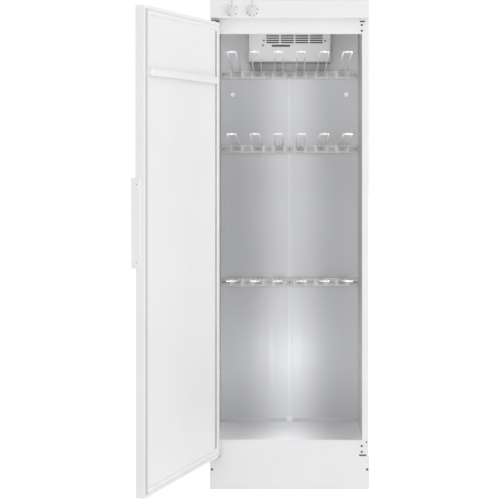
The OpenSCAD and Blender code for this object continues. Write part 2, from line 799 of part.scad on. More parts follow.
// Radial wheel with a ring of blades, pressed onto its shaft
module fan_wheel() {
    color(dark) translate([fan_x, wheel_back, fan_axis_z]) {
        bar_y([0, -wheel_w, 0], shaft_d, wheel_w + wheel_gap + motor_len - 8);
        bar_y([0, -wheel_w * 0.5, 0], shaft_d * 2.6, wheel_w * 0.5 + 4);
        bar_y([0, -1.5, 0], wheel_d, 1.5);
        difference() {
            bar_y([0, -wheel_w, 0], wheel_d, 2);
            bar_y([0, -wheel_w - cut, 0], wheel_d - 22, 2 + 2 * cut);
        }
        for (k = [0 : wheel_blades - 1]) rotate([0, k * 360 / wheel_blades, 0])
            translate([wheel_d / 2 - 11, -wheel_w + 0.5, -0.6]) rotate([0, 25, 0])
                cube([9.5, wheel_w - 1, 1.2]);
    }
}

// Tubular heater that winds to and fro over the housing's floor
module heater_element() {
    x0 = -(heater_runs - 1) * heater_pitch / 2;
    r = heater_pitch / 2;
    y0 = fan_front + 44 + r;
    y1 = chamber_back - 22 - r;
    color(steel) {
        for (k = [0 : heater_runs - 1]) {
            lead = k == 0 || k == heater_runs - 1;
            translate([x0 + k * heater_pitch, y0, heater_z]) rotate([-90, 0, 0])
                cylinder(d = heater_d, h = (lead ? chamber_back : y1) - y0);
        }
        for (k = [0 : heater_runs - 2])
            translate([x0 + (k + 0.5) * heater_pitch, k % 2 ? y1 : y0, heater_z])
                rotate([0, 0, k % 2 ? 0 : 180])
                    rotate_extrude(angle = 180) translate([r, 0]) circle(d = heater_d);
        // ceramic bars that carry the tube
        for (y = [y0 + 4, y1 - 10])
            block([x0 - 6, y, fan_bottom + fan_t], [-x0 + 6, y + 6, heater_z]);
    }
}

module exhaust_spigot() {
    color(zinc) difference() {
        union() {
            bar_z([0, 0, ceiling_z + liner_t], spigot_d, case_h + spigot_h - ceiling_z - liner_t);
            bar_z([0, 0, case_h], spigot_d + 2 * collar_w, 1.5);
        }
        bar_z([0, 0, ceiling_z], spigot_d - 2 * spigot_wall, spigot_h + ceiling_drop + cut);
    }
}

module cable_gland() {
    color(dark) translate(gland) difference() {
        union() {
            bar_y([0, -8, 0], gland_d + 7, 8);
            bar_y([0, -8, 0], gland_d, 8 + rear_t + 4);
            bar_y([0, rear_t, 0], gland_d + 8, 5);
            bar_y([0, rear_t + 5, 0], gland_d + 2, 5);
        }
        bar_y([0, -8 - cut, 0], 8, rear_t + 20 + cut);
    }
}

// Box for the mains terminals on the chamber's ceiling
module terminal_box() {
    size = [80, 60, 30];
    wall = [2, 2, 2];
    box_back = rear_face - 70;
    lead_d = 9;
    lo = [gland.x - size.x / 2, box_back - size.y, ceiling_z + liner_t];
    color(plastic_white) difference() {
        block(lo, lo + size);
        block(lo + wall, lo + size - wall);
        bar_y([gland.x, box_back - wall.y - cut, lo.z + size.z / 2 + 1], lead_d, wall.y + 2 * cut);
    }
}

// ---- fascia and controls ----

module fascia() {
    inner_r = fascia_r - fascia_wall / 2;
    color(powder_white) difference() {
        along_x(-fascia_w / 2, fascia_w / 2) intersection() {
            round_rect([fascia_front, fascia_bottom], [front_y + 2 * fascia_r, case_h], fascia_r);
            translate([fascia_front, fascia_bottom]) square([fascia_d, fascia_h]);
        }
        along_x(-fascia_w / 2 + fascia_wall, fascia_w / 2 - fascia_wall)
            round_rect([control_face, fascia_bottom + fascia_wall],
                       [front_y + 2 * fascia_r, case_h - fascia_wall], inner_r);
        for (x = [timer_x, heat_x])
            bar_y([x, fascia_front - cut, knob_z], neck_d + 2 * screw_fit, fascia_wall + 2 * cut);
    }
}

// Housing, neck and bore that the timer and the thermostat share
module control(x) {
    difference() {
        union() {
            children();
            bar_y([x, fascia_front, knob_z], neck_d, fascia_wall + 1);
        }
        bar_y([x, fascia_front - cut, knob_z], stem_d + 2 * run_gap, stem_len + 2 * cut);
    }
}

module timer_unit() {
    half = timer_w / 2;
    color(dark) control(timer_x) along_y(control_face, control_face + control_depth)
        round_rect([timer_x - half, knob_z - half], [timer_x + half, knob_z + half], 3);
}

module thermostat_unit() {
    color(steel) control(heat_x) {
        bar_y([heat_x, control_face, knob_z], thermostat_d, control_depth * 0.6);
        bar_y([heat_x, control_face, knob_z], thermostat_d * 0.7, control_depth);
    }
}

// Knob drawn on its back, with its face up, its bar along Y and its stem below
module knob(x) {
    rim = knob_d / 2;
    color(plastic_white) translate([x, fascia_front - knob_gap, knob_z]) rotate([90, 0, 0]) {
        rotate_extrude()
            polygon([[0, 0], [rim, 0], [rim, knob_skirt], [rim - 1, knob_skirt + 1.2],
                     [rim - 4, knob_skirt + 2], [rim - 6, knob_skirt + 4.5], [0, knob_skirt + 5.5]]);
        difference() {
            intersection() {
                rotate_extrude()
                    polygon([[0, 0], [rim - 2, 0], [rim - 3, knob_h - 3.5], [rim - 4.2, knob_h - 1.2],
                             [rim - 6, knob_h - 0.2], [rim - 8, knob_h], [0, knob_h]]);
                along_x(-grip_w / 2, grip_w / 2) round_rect([-rim, 0], [rim, knob_h], 1.5);
            }
            block([-0.6, rim * 0.35, knob_h - 0.8], [0.6, rim, knob_h + cut]);
        }
        translate([0, 0, -stem_len]) cylinder(d = stem_d, h = stem_len + 1);
    }
}

// ---- hanging rails and arms ----

module hanging_rail(z) {
    half = rail_w / 2;
    color(wire_white) difference() {
        union() {
            difference() {
                block([-half, rail_face, z - rail_h / 2], [half, chamber_back, z + rail_h / 2]);
                block([-half - cut, rail_face + rail_t, z - rail_h / 2 + rail_t],
                      [half + cut, chamber_back + cut, z + rail_h / 2 - rail_t]);
            }
            for (k = [-pads_each_side : pads_each_side])
                translate([k * pad_pitch, 0, z]) along_y(pad_face, rail_face + rail_t / 2)
                    round_rect([-pad_w / 2, -pad_h / 2], [pad_w / 2, pad_h / 2], 3);
            for (k = [1 : 6]) hook(arm_x(k), z + pivot_rise);
        }
        // slots, in every pad but the middle one
        for (k = [-pads_each_side : pads_each_side]) if (k != 0)
            block([k * pad_pitch - pad_slot_w / 2, pad_face - cut, z - pad_slot_h / 2],
                  [k * pad_pitch + pad_slot_w / 2, rail_face + rail_t + cut, z + pad_slot_h / 2]);
        for (x = rail_screws)
            bar_y([x, pad_face - cut, z], screw_hole, rail_depth + pad_rise + 2 * cut);
        // room for the strip over the back wall's joint
        block([-strip_w / 2 - 0.3, chamber_back - strip_t - 0.5, z - rail_h],
              [strip_w / 2 + 0.3, chamber_back + cut, z + rail_h]);
    }
}

rail_screw_x = pads_each_side * pad_pitch + pad_w / 2 - 4.5;
rail_screws = [-rail_screw_x, 0, rail_screw_x];
function arm_x(k) = (2 * k - 7) * pad_pitch;

// Tongue of the rail that curls up round the front of an arm's pivot bar
module hook(x, z) {
    translate([x - hook_w / 2, pivot_y, z]) rotate([0, 90, 0]) rotate([0, 0, -hook_angle])
        rotate_extrude(angle = hook_angle) translate([hook_r, 0]) square([hook_t, hook_w]);
    block([x - hook_w / 2, pivot_y - 0.5, z - hook_r - hook_t],
          [x + hook_w / 2, pad_face + pad_rise, z - hook_r - 0.05]);
}

// One hanging arm: a closed loop of wire whose heel leans on the rail
module hanging_arm(k, rail_z) {
    side_x = arm_w / 2;
    color(wire_white) translate([arm_x(k), heel_y, rail_z + heel_top]) {
        bar_x([-side_x + heel_bend, 0, -heel_drop], wire_d, arm_w - 2 * heel_bend);
        for (side = [-1, 1]) on_side(side) {
            translate([side_x - heel_bend, 0, -heel_drop + heel_bend])
                rotate([90, 0, 0]) rotate([0, 0, -90]) wire_bend(heel_bend, 90);
            bar_z([side_x, 0, -heel_drop + heel_bend], wire_d, heel_drop - heel_bend);
            translate([side_x, -heel_bend, 0]) rotate([90, 0, 90]) wire_bend(heel_bend, elbow_turn);
        }
        // legs, pivot bar and front bar, drawn upright from the end of the elbow
        translate([0, -heel_bend, 0]) rotate([elbow_turn, 0, 0]) translate([0, heel_bend, 0]) {
            bar_x([-side_x, 0, pivot_out], pivot_bar_d, arm_w);
            for (side = [-1, 1]) on_side(side) {
                bar_z([side_x, 0, -weld], leg_d, arm_len - front_bend + weld);
                translate([side_x - front_bend, 0, arm_len - front_bend])
                    rotate([90, 0, 0]) wire_bend(front_bend, 90);
            }
            bar_x([-side_x + front_bend, 0, arm_len], wire_d, arm_w - 2 * front_bend);
            bar_x([-sleeve_len / 2, 0, arm_len], sleeve_d, sleeve_len);
        }
    }
}

// Screws of the casing: rails, fan housing, plinth, left hinges and rear panel
module casing_screws() {
    color(steel) {
        for (z = rail_heights) {
            screw_y([0, pad_face, z], screw_d, rail_depth + pad_rise - strip_t);
            for (side = [-1, 1])
                screw_y([side * rail_screw_x, pad_face, z], screw_d, rail_depth + pad_rise);
        }
        for (p = housing_screws) screw_y([p.x, fan_front, p.y], screw_d, 9);
        for (side = [-1, 1]) screw_y([side * plinth_screw.x, front_y, plinth_screw.y], screw_d, 9);
        for (top = [0, 1], k = [1, 2])
            screw_y([-hinge_screw_x, front_y, hinge_rows(top)[k]], hinge_hole_d - 2 * screw_fit,
                    frame_t + leaf_t + 0.5);
        for (s = panel_screws)
            translate([s.x * (case_w / 2 - side_rear_flange / 2), back_y, s.y]) rotate([0, 0, 180])
                screw_y([0, 0, 0], screw_d, rear_t);
    }
}

// ---- hinges ----

// Leaf through the frame's slot, its plate behind the frame, and the pin
module hinge(top) {
    slot_x = top ? top_slot_x : bottom_slot_x;
    tongue = (top ? top_slot_w : bottom_slot_w) / 2 - 0.8;
    z = top ? top_leaf_z : bottom_leaf_z;
    rows = hinge_rows(top);
    plate_x = [-hinge_screw_x - 10, -hinge_screw_x + 8];
    plate_z = top ? [rows[2] - 7, z + leaf_t] : [z, rows[2] + 7];
    color(steel) difference() {
        union() {
            along_z(z, z + leaf_t) {
                translate([-slot_x - tongue, pivot.y]) square([2 * tongue, frame_back + leaf_t - pivot.y]);
                translate([pivot.x, pivot.y]) circle(leaf_r);
                translate([pivot.x, pivot.y - leaf_r]) square([leaf_r, leaf_r]);
            }
            block([plate_x[0], frame_back, plate_z[0]], [plate_x[1], frame_back + leaf_t, plate_z[1]]);
            bar_z([pivot.x, pivot.y, top ? z - pin_len : z], pin_d, pin_len + leaf_t);
        }
        for (k = [1, 2])
            bar_y([-hinge_screw_x, frame_back - cut, rows[k]], hinge_hole_d, leaf_t + 2 * cut);
    }
}

// Bushes in the top and bottom of the door
module hinge_bushes() {
    color(plastic_white) on_door() {
        bush(door_top, top_leaf_z - leaf_gap, -1);
        bush(door_bottom, bottom_leaf_z + leaf_t + leaf_gap, 1);
    }
}

// Bush whose flange lies between the door's edge and the leaf
module bush(edge_z, end_z, into_door) {
    stem = pin_len + 2;
    translate([pivot.x, pivot.y, 0]) difference() {
        union() {
            translate([0, 0, min(edge_z, end_z)]) cylinder(d = bush_flange_d, h = abs(end_z - edge_z));
            translate([0, 0, into_door > 0 ? edge_z : edge_z - stem]) cylinder(d = bush_d, h = stem);
        }
        translate([0, 0, min(edge_z, end_z) - stem - cut])
            cylinder(d = pin_d + 2 * run_gap, h = 2 * stem + abs(end_z - edge_z) + 2 * cut);
    }
}

// ---- door ----

module window_outline(grow) {
    round_rect([-window - grow, door_bottom + border - grow],
               [window + grow, door_top - border + grow], recess_r + grow);
}

// Outer shell, folded round all four edges to a flat border on the inside
module door_outer_panel() {
    color(door_white) on_door() difference() {
        along_z(door_bottom, door_top) round_rect([-door_x, door_out], [door_x, door_in], door_r);
        along_z(door_bottom + door_sheet, door_top - door_sheet)
            round_rect([-door_x + door_sheet, door_out + door_sheet],
                       [door_x - door_sheet, door_in - door_sheet], door_r - door_sheet);
        along_y(door_in - door_sheet - cut, door_in + cut) window_outline(0);
        bar_z([pivot.x, pivot.y, door_bottom - cut], bush_d + 2 * screw_fit, door_sheet + 2 * cut);
        bar_z([pivot.x, pivot.y, door_top - door_sheet - cut], bush_d + 2 * screw_fit, door_sheet + 2 * cut);
        for (z = handle_screw_z)
            bar_x([door_x - door_sheet - cut, door_out + handle_screw_y, z], screw_hole,
                  door_sheet + 2 * cut);
    }
}

handle_screw_z = [handle_z + handle_screw_inset, handle_z + handle_len - handle_screw_inset];

// Recessed inner panel, with a flange behind the outer shell's border
module door_inner_panel() {
    wall = 0.8;
    border_back = door_in - door_sheet;
    color(door_white) on_door() difference() {
        union() {
            along_y(panel_face - wall, border_back) window_outline(-0.2);
            along_y(border_back - wall, border_back) window_outline(10);
        }
        along_y(panel_face, border_back + cut) window_outline(-0.2 - wall);
        for (x = towel_screw_x)
            bar_y([x, panel_face - wall - cut, towel_z + towel_h / 2], screw_hole, wall + 2 * cut);
    }
}

// Magnetic sealing strip on the border
module door_gasket() {
    color(rubber_grey) on_door() difference() {
        along_y(door_in, door_in + gasket_h) gasket_outline(gasket_inset, 6);
        along_y(door_in - cut, door_in + gasket_h + cut) gasket_outline(gasket_inset + gasket_w, 3);
    }
}

module gasket_outline(inset, r) {
    round_rect([-door_x + inset, door_bottom + inset], [door_x - inset, door_top - inset], r);
}

// Hook-shaped grip, screwed to the door's free edge
module handle() {
    out_x = door_x + handle_flange;
    lip_x = door_x - handle_grip;
    color(door_white) on_door() difference() {
        along_z(handle_z, handle_z + handle_len) {
            difference() {
                round_rect([lip_x, handle_out], [out_x, door_out + handle_cover], 4);
                round_rect([lip_x - 10, handle_out + handle_lip],
                           [door_x, door_out + handle_cover + 10], 1.5);
            }
            translate([lip_x + 3.4, handle_out + handle_lip - 0.4]) circle(2);
        }
        for (z = handle_screw_z)
            bar_x([door_x - cut, door_out + handle_screw_y, z], screw_hole, handle_flange + 2 * cut);
    }
}

towel_screw_x = [towel_x0 + towel_foot * 0.6, towel_x1 - towel_foot * 0.6];

// Flat bar whose ends are bent back to feet on the inner panel
module towel_rail() {
    r = 5;
    color(door_white) on_door() difference() {
        along_z(towel_z, towel_z + towel_h) difference() {
            round_rect([towel_x0, panel_face - 2 * r], [towel_x1, towel_back + towel_t], r);
            round_rect([towel_x0 + towel_t, panel_face + towel_t],
                       [towel_x1 - towel_t, towel_back], r - towel_t / 2);
            translate([towel_x0 - cut, panel_face - 2 * r - cut])
                square([towel_x1 - towel_x0 + 2 * cut, 2 * r + cut]);
            translate([towel_x0 + towel_foot, panel_face - cut])
                square([towel_x1 - towel_x0 - 2 * towel_foot, towel_t + 2 * cut]);
        }
        for (x = towel_screw_x)
            bar_y([x, panel_face - cut, towel_z + towel_h / 2], screw_hole, towel_t + 2 * cut);
    }
}

// Screws of the handle and the towel rail
module door_screws() {
    color(steel) on_door() {
        for (z = handle_screw_z) translate([door_x + handle_flange, door_out + handle_screw_y, z])
            rotate([0, 0, 90]) screw_y([0, 0, 0], screw_d, handle_flange + 6);
        for (x = towel_screw_x) translate([x, panel_face + towel_t, towel_z + towel_h / 2])
            rotate([0, 0, 180]) screw_y([0, 0, 0], screw_d, towel_t + 4);
    }
}

// ---- the pieces ----

side_panel(-1);  // left_side_panel
side_panel(1);  // right_side_panel
rear_panel();
top_cover();
base_frame();
plinth_panel();
front_frame();
levelling_feet();
liner_side(-1);  // liner_left
liner_side(1);  // liner_right
liner_ceiling();
liner_back(-1);  // liner_back_left
liner_back(1);  // liner_back_right
back_joint_strip();
floor_tray();
wall_plugs();
fan_housing();
fan_motor();
fan_wheel();
heater_element();
humidity_sensor();
exhaust_spigot();
cable_gland();
terminal_box();
fascia();
timer_unit();
thermostat_unit();
knob(timer_x);  // timer_knob
knob(heat_x);  // heat_knob
hanging_rail(rail_top_z);  // rail_top
hanging_rail(rail_mid_z);  // rail_middle
hanging_rail(rail_low_z);  // rail_low
casing_screws();
hinge(true);  // hinge_top
hinge(false);  // hinge_bottom
door_outer_panel();
door_inner_panel();
door_gasket();
hinge_bushes();
handle();
towel_rail();
door_screws();
hanging_arm(1, rail_top_z);  // arm_top_1
hanging_arm(2, rail_top_z);  // arm_top_2
hanging_arm(3, rail_top_z);  // arm_top_3
hanging_arm(4, rail_top_z);  // arm_top_4
hanging_arm(5, rail_top_z);  // arm_top_5
hanging_arm(6, rail_top_z);  // arm_top_6
hanging_arm(1, rail_mid_z);  // arm_mid_1
hanging_arm(2, rail_mid_z);  // arm_mid_2
hanging_arm(3, rail_mid_z);  // arm_mid_3
hanging_arm(4, rail_mid_z);  // arm_mid_4
hanging_arm(5, rail_mid_z);  // arm_mid_5
hanging_arm(6, rail_mid_z);  // arm_mid_6
hanging_arm(1, rail_low_z);  // arm_low_1
hanging_arm(2, rail_low_z);  // arm_low_2
hanging_arm(3, rail_low_z);  // arm_low_3
hanging_arm(4, rail_low_z);  // arm_low_4
hanging_arm(5, rail_low_z);  // arm_low_5
hanging_arm(6, rail_low_z);  // arm_low_6
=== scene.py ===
"""Looks of the drying cabinet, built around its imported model.

Materials, lamps and the camera are in metres. Places and sizes of small pieces are in mm."""
import itertools
import json
import math

import bmesh
import bpy
from mathutils import Matrix, Vector


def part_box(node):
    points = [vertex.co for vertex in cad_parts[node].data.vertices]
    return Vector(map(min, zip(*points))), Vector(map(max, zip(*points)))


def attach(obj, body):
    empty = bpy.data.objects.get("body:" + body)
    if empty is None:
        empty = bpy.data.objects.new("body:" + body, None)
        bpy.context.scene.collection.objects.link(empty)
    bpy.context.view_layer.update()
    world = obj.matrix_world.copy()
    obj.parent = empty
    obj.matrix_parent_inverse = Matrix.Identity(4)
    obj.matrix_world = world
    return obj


MM = 0.001
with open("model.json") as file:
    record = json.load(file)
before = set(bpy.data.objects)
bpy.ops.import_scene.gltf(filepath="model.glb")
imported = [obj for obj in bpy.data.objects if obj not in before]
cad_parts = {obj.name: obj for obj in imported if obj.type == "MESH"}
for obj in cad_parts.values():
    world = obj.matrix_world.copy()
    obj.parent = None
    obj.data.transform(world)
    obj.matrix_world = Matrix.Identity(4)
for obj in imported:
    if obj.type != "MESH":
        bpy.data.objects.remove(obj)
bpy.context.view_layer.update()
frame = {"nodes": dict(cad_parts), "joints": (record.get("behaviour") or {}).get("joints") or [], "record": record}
nodes = frame["nodes"]
scene = bpy.context.scene

# ---- camera: the photograph's place and lens shift ----

EYE = (0, -4.745, 1.2734)

cam_data = bpy.data.cameras.new("camera")
cam_data.sensor_width = 36
cam_data.lens = 85.25
cam_data.shift_x = -0.0792
cam_data.shift_y = -0.197
cam_data.clip_end = 60
camera = bpy.data.objects.new("camera", cam_data)
camera.location = EYE
camera.rotation_euler = (math.radians(90), 0, 0)
scene.collection.objects.link(camera)
scene.camera = camera

# ---- places that the frame gives, in mm ----

FRONT = (0, -1, 0)
BACK = (0, 1, 0)
joints = {joint["name"]: joint for joint in frame["joints"]}


def joint_place(name):
    return Vector([v / MM for v in joints[name]["pos_m"]])


def corners(node):
    """A node's lowest and highest corners at rest."""
    return [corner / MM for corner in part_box(node)]


FASCIA_FRONT = corners("fascia")[0].y
CASING_FRONT = corners("plinth_panel")[0].y
CASING_BACK = corners("rear_panel")[1].y
CASING_LOW = corners("rear_panel")[0].z
CASING_TOP = corners("top_cover")[1].z
BOSS_FRONT = corners("front_frame")[0].y
HOUSING_FRONT = corners("fan_housing")[0].y
PAD_DEPTH = 8
PAD_FACE = corners("rail_top")[1].y - PAD_DEPTH
RAIL_HALF = 16.5
RAIL_MIDDLES = [corners(rail)[0].z + RAIL_HALF for rail in ("rail_top", "rail_middle", "rail_low")]
DOOR_LOW, DOOR_HIGH = (corner.z for corner in corners("door_outer_panel"))

# Points on the closed door are turned to where the open door stands
PIVOT = joint_place("door_hinge")
OPEN = Matrix.Rotation(-math.radians(joints["door_hinge"]["range_deg"][1]), 3, "Z")
ACROSS = OPEN @ Vector((1, 0, 0))
INWARD = OPEN @ Vector((0, 1, 0))


def on_door(point):
    return PIVOT + OPEN @ (Vector(point) - PIVOT)


def across(x):
    """How far along the open door's width a line at closed x lies, in metres."""
    return on_door((x, PIVOT.y, 0)).dot(ACROSS) * MM


# ---- materials ----


def shade(colour, factor):
    return tuple(c * factor for c in colour)


class Tree:
    """A node tree, with short ways to add nodes and links."""

    def __init__(self, tree):
        self.tree = tree
        self.tree.nodes.clear()

    def add(self, kind, **values):
        """A new node. A value goes to its setting of that name, or else to its input."""
        node = self.tree.nodes.new(kind)
        for key, value in values.items():
            if hasattr(node, key):
                setattr(node, key, value)
            else:
                node.inputs[key.replace("_", " ")].default_value = value
        return node

    def link(self, a, b):
        self.tree.links.new(a, b)

    def joined(self, operation, values):
        """Adds values up, or takes the largest, by a chain of math nodes."""
        total = values[0]
        for value in values[1:]:
            node = self.add("ShaderNodeMath", operation=operation)
            self.link(total, node.inputs[0])
            self.link(value, node.inputs[1])
            total = node.outputs[0]
        return total

    def viewing_rays(self):
        """1 for rays that look at something, 0 for those that only carry light."""
        rays = self.add("ShaderNodeLightPath").outputs
        kinds = ("Is Camera Ray", "Is Glossy Ray", "Is Transmission Ray")
        return self.joined("MAXIMUM", [rays[kind] for kind in kinds])


class Finish(Tree):
    """A material around one shader, with patterns in the object's own coordinates."""

    def __init__(self, name, **shader_values):
        self.material = bpy.data.materials.new(name)
        self.material.use_nodes = True
        super().__init__(self.material.node_tree)
        self.out = self.add("ShaderNodeOutputMaterial")
        self.shader = self.add("ShaderNodeBsdfPrincipled", **shader_values)
        self.link(self.shader.outputs[0], self.out.inputs[0])
        self.coords = self.add("ShaderNodeTexCoord").outputs["Object"]

    def stretched(self, scale):
        """The object's coordinates with each axis scaled."""
        mapping = self.add("ShaderNodeMapping", Scale=scale)
        self.link(self.coords, mapping.inputs["Vector"])
        return mapping.outputs[0]

    def noise(self, scale, detail, coords=None, distortion=0):
        node = self.add("ShaderNodeTexNoise", Scale=scale, Detail=detail, Distortion=distortion)
        self.link(coords or self.coords, node.inputs["Vector"])
        return node.outputs["Fac"]

    def cells(self, scale):
        """A random number for each cell of a crystal-like pattern."""
        node = self.add("ShaderNodeTexVoronoi", Scale=scale)
        self.link(self.coords, node.inputs["Vector"])
        split = self.add("ShaderNodeSeparateColor")
        self.link(node.outputs["Color"], split.inputs[0])
        return split.outputs[0]

    def span(self, value, low, high, spread=(0.3, 0.7)):
        """Maps a value from its spread, by default a noise's usual one, to low...high."""
        node = self.add("ShaderNodeMapRange", From_Min=spread[0], From_Max=spread[1],
                        To_Min=low, To_Max=high)
        self.link(value, node.inputs["Value"])
        return node.outputs[0]

    def mix(self, share, a, b):
        """Mixes two colours. Each value is either fixed or another node's output."""
        node = self.add("ShaderNodeMix", data_type="RGBA")
        for value, socket in zip((share, a, b), (node.inputs[0], node.inputs[6], node.inputs[7])):
            if isinstance(value, bpy.types.NodeSocket):
                self.link(value, socket)
            elif isinstance(value, tuple):
                socket.default_value = (*value, 1)
            else:
                socket.default_value = value
        return node.outputs[2]

    def clouded(self, colour, dark, light, scale, detail, **pattern):
        """A colour that wanders between a darker and a lighter shade."""
        clouds = self.noise(scale, detail, **pattern)
        return self.mix(self.span(clouds, 0, 1), shade(colour, dark), shade(colour, light))

    def dot(self, vector, direction):
        node = self.add("ShaderNodeVectorMath", operation="DOT_PRODUCT")
        self.link(vector, node.inputs[0])
        node.inputs[1].default_value = direction
        return node.outputs["Value"]

    def facing(self, direction, limit=0.9):
        """1 where the object's own surface faces a direction, otherwise 0."""
        above = self.add("ShaderNodeMath", operation="GREATER_THAN")
        normal = self.add("ShaderNodeTexCoord").outputs["Normal"]
        self.link(self.dot(normal, direction), above.inputs[0])
        above.inputs[1].default_value = limit
        return above.outputs[0]

    def along(self, direction, low, high):
        """Rises from 0 to 1 between two distances along a direction from the object's origin."""
        return self.span(self.dot(self.coords, direction), 0, 1, (low, high))

    def ripple(self, direction, period):
        """A soft wave from 1 at the object's origin to 0 half a period away along a direction."""
        wave = self.add("ShaderNodeMath", operation="COSINE")
        self.link(self.dot(self.coords, shade(direction, 2 * math.pi / period)), wave.inputs[0])
        return self.span(wave.outputs[0], 0, 1, (-1, 1))

    def colour(self, source):
        self.link(source, self.shader.inputs["Base Color"])

    def rough(self, source):
        self.link(source, self.shader.inputs["Roughness"])

    def uneven(self, low, high, scale, detail=3):
        """A gloss that wanders between two values of roughness."""
        self.rough(self.span(self.noise(scale, detail), low, high))

    def bump(self, height, strength, depth, after=None):
        node = self.add("ShaderNodeBump", Strength=strength, Distance=depth)
        self.link(height, node.inputs["Height"])
        if after is not None:
            self.link(after, node.inputs["Normal"])
        self.link(node.outputs[0], self.shader.inputs["Normal"])
        return node.outputs[0]


def painted(name, colour, rough=0.4, grain=900, depth=0.00006, spread=0.012, shade_facing=None,
            ground=None, glow=None):
    """Powder coat: slight clouding, fine orange peel and an uneven gloss.

    Faces turned to the shading direction get a painted shade, and what lies past the ground's Y is paler, a
    painted highlight.
    The glow is the period of a painted light band along X."""
    n = Finish(name)
    paint = n.clouded(colour, 1 - spread, 1 + spread, scale=5, detail=3)
    # Painted light: a soft band along X, brightest at the object's origin
    if glow:
        band = n.mix(n.ripple((1, 0, 0), glow), shade(colour, 0.15), shade(colour, 1.2))
        paint = n.mix(0.5, paint, band)
    # Painted shade on the faces turned to the shading direction
    if shade_facing:
        paint = n.mix(n.facing(shade_facing, 0.95), paint, shade(colour, 0.3))
    # Painted highlight: paler past the ground's Y
    if ground:
        past = n.along((0, 1, 0), ground - 0.3 * MM, ground + 0.3 * MM)
        paint = n.mix(past, paint, shade(colour, 1.3))
    n.colour(paint)
    n.uneven(rough - 0.04, rough + 0.05, scale=40)
    peel = n.bump(n.noise(grain, 2), 0.35, depth)
    n.bump(n.noise(grain / 5, 2), 0.25, depth * 3, peel)
    return n.material


def galvanised(name, colour, rough=0.5, lip=None):
    """Zinc-coated sheet: faint spangle, soft clouds, painted reflections in bands, and streaks from the rolling.

    A lip's colour is that of the faces turned to the front."""
    n = Finish(name, Metallic=0.25)
    spangle = n.mix(n.cells(85), shade(colour, 0.985), shade(colour, 1.015))
    clouds = n.clouded(colour, 0.95, 1.05, scale=2.2, detail=2, distortion=0.3)
    # Painted reflections: soft bands that run up the sheet, and a band brightest in the middle of X
    bands = n.clouded(colour, 0.92, 1.08, scale=1, detail=2, coords=n.stretched((5, 5, 0.4)))
    glow = n.mix(n.ripple((1, 0, 0), 0.36), shade(colour, 0.55), shade(colour, 1.4))
    sheet = n.mix(0.5, n.mix(0.5, spangle, clouds), n.mix(0.7, bands, glow))
    n.colour(n.mix(n.facing(FRONT), sheet, lip) if lip else sheet)
    streaks = n.noise(1, 4, n.stretched((60, 60, 1.2)))
    patches = n.span(n.noise(6, 3), rough - 0.04, rough + 0.04)
    n.rough(n.joined("ADD", [n.span(streaks, -0.04, 0.05), patches]))
    rolled = n.bump(streaks, 0.08, 0.0002)
    n.bump(n.noise(420, 2), 0.12, 0.00006, rolled)
    return n.material


def coated(name, colour, heel_colour):
    """Wire that is white towards its front end and greyer towards its heel."""
    n = Finish(name, Coat_Weight=0.3, Coat_Roughness=0.25)
    wire = n.clouded(heel_colour, 0.97, 1.03, scale=20, detail=3)
    n.colour(n.mix(n.along(FRONT, 0.1, 0.25), wire, colour))
    n.uneven(0.38, 0.46, scale=60)
    n.bump(n.noise(1400, 2), 0.12, 0.00002)
    return n.material


def plated(name, colour, rough=0.32):
    """Zinc-plated steel with fine drawn lines."""
    n = Finish(name, Metallic=1)
    n.colour(n.clouded(colour, 0.9, 1.08, scale=90, detail=3))
    n.uneven(rough - 0.07, rough + 0.1, scale=160, detail=4)
    n.bump(n.noise(1, 3, n.stretched((2600, 2600, 160))), 0.2, 0.00004)
    return n.material


def moulded(name, colour, rough=0.35, spread=0.02):
    """Moulded plastic with a fine spark-eroded texture."""
    n = Finish(name)
    n.colour(n.clouded(colour, 1 - spread, 1 + spread, scale=25, detail=3))
    n.uneven(rough - 0.05, rough + 0.06, scale=70)
    n.bump(n.noise(1500, 3), 0.4, 0.00004)
    return n.material


def rubber(name, colour, dark, side, limit):
    """Door seal: fine matt texture, with a painted shade where it lies beyond a distance on one side."""
    n = Finish(name)
    even = n.clouded(colour, 0.97, 1.03, scale=30, detail=3)
    n.colour(n.mix(n.along(side, limit - 1.5 * MM, limit + 1.5 * MM), even, dark))
    n.uneven(0.5, 0.65, scale=80)
    n.bump(n.noise(1900, 3), 0.4, 0.00004)
    return n.material


def heated(name, colour):
    """Sheathed heating tube, darkened unevenly along its length."""
    n = Finish(name, Metallic=0.8)
    n.colour(n.clouded(colour, 0.6, 1.3, scale=30, detail=4))
    n.uneven(0.45, 0.65, scale=120)
    n.bump(n.noise(900, 3), 0.3, 0.00006)
    return n.material


DOOR_COLOUR = (0.885, 0.88, 0.88)

# The closed X past which the door's seal carries a painted shade, in mm
SEAL_SHADE_X = 277.5

FINISH = {
    "powder_white": painted("powder_white", (0.835, 0.83, 0.83)),
    "door_white": painted("door_white", DOOR_COLOUR, rough=0.36, grain=1100),
    "zinc_sheet": galvanised("zinc_sheet", (0.49, 0.493, 0.503)),
    # The housing gets a painted light band brightest in its middle, and a painted shade on the sloped faces of its
    # grille's blades
    "housing_grey": painted("housing_grey", (0.39, 0.39, 0.39), rough=0.45, grain=700,
                            depth=0.0001, spread=0.02, shade_facing=(0, -0.42, 0.91), glow=0.5),
    # The rail is paler behind its pads: a painted highlight between the pads
    "coated_rail": painted("coated_rail", (0.46, 0.46, 0.465), rough=0.33,
                           ground=(PAD_FACE + 0.5) * MM),
    "coated_wire": coated("coated_wire", (0.88, 0.88, 0.88), heel_colour=(0.62, 0.62, 0.625)),
    "steel": plated("steel", (0.56, 0.57, 0.58)),
    "heater_tube": heated("heater_tube", (0.30, 0.29, 0.28)),
    "knob_plastic": moulded("knob_plastic", (0.75, 0.75, 0.745)),
    "white_plastic": moulded("white_plastic", (0.82, 0.82, 0.81), rough=0.42),
    "gasket_grey": rubber("gasket_grey", (0.78, 0.78, 0.78), dark=(0.62, 0.62, 0.62),
                          side=ACROSS, limit=across(SEAL_SHADE_X)),
    "dark_plastic": moulded("dark_plastic", (0.035, 0.035, 0.037), rough=0.45, spread=0.1),
}

